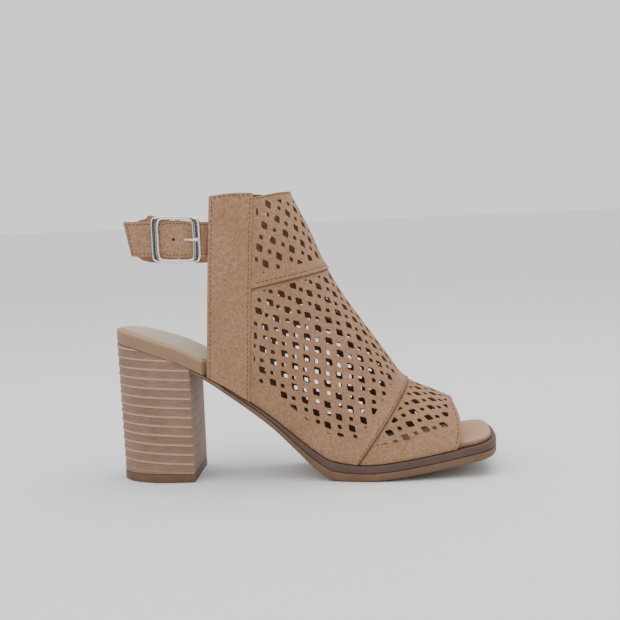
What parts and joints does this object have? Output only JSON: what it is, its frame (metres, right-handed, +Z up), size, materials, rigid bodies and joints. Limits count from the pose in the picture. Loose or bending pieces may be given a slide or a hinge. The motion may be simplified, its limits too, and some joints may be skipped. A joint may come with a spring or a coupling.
{
  "type": "heeled peep-toe sandal",
  "caption": "Right-foot peep-toe sandal with a high perforated suede vamp, an open back with a buckled sling strap, and a stacked block heel.",
  "frame": {"origin": "on the floor under the middle of the shoe's box, between heel and forefoot", "axes": "+X towards the toe, +Y towards the inner side of the foot, +Z up from the floor"},
  "size_m": [0.2219, 0.077, 0.1661],
  "materials": {
    "outsole": "matt",
    "welt": "matt",
    "heel_stack": "satin, in layers",
    "heel_lift": "matt",
    "insole": "suede",
    "sock_lining": "soft matt",
    "suede": "suede nap",
    "nickel": "polished"
  },
  "bodies": {
    "root": {"outsole": "outsole", "welt": "welt", "heel_stack": "heel_stack", "heel_lift": "heel_lift", "insole": "insole", "sock_lining": "sock_lining", "upper": "suede", "buckle_strap": "suede", "sling_strap": "suede", "buckle_frame": "nickel", "buckle_prong": "nickel"}
  },
  "joints": []
}
